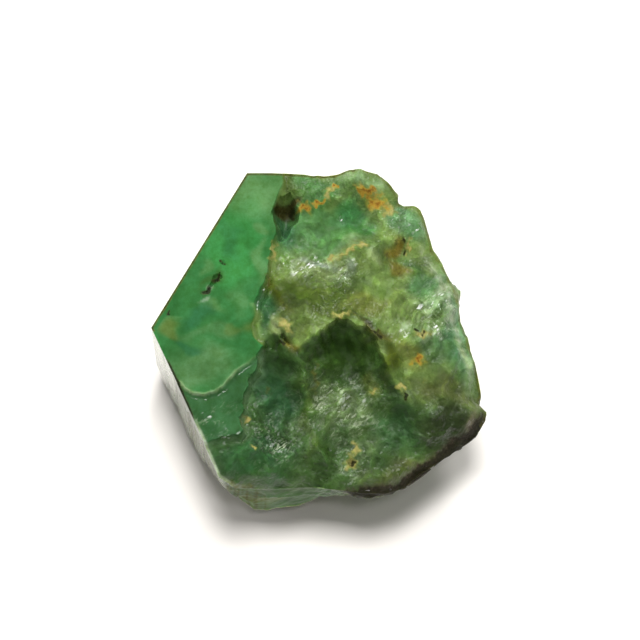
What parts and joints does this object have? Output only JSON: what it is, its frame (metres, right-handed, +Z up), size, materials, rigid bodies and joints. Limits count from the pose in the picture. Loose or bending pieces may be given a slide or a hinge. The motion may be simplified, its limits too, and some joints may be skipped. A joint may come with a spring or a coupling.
{
  "type": "raw emerald crystal",
  "caption": "Rough green beryl crystal: a short six-sided prism with a broken, hollowed top, standing on a flat rest face.",
  "frame": {"origin": "on the crystal's own axis, at the middle of the flat rest face it stands on", "axes": "+Z up along the crystal's own axis, +Y to the back, where the unbroken top edge is, +X to the right"},
  "size_m": [0.0263, 0.0258, 0.0146],
  "materials": {
    "emerald_crystal": "glassy on whole faces, shell-like chips elsewhere"
  },
  "bodies": {
    "root": {"emerald_crystal": "emerald_crystal"}
  },
  "joints": []
}
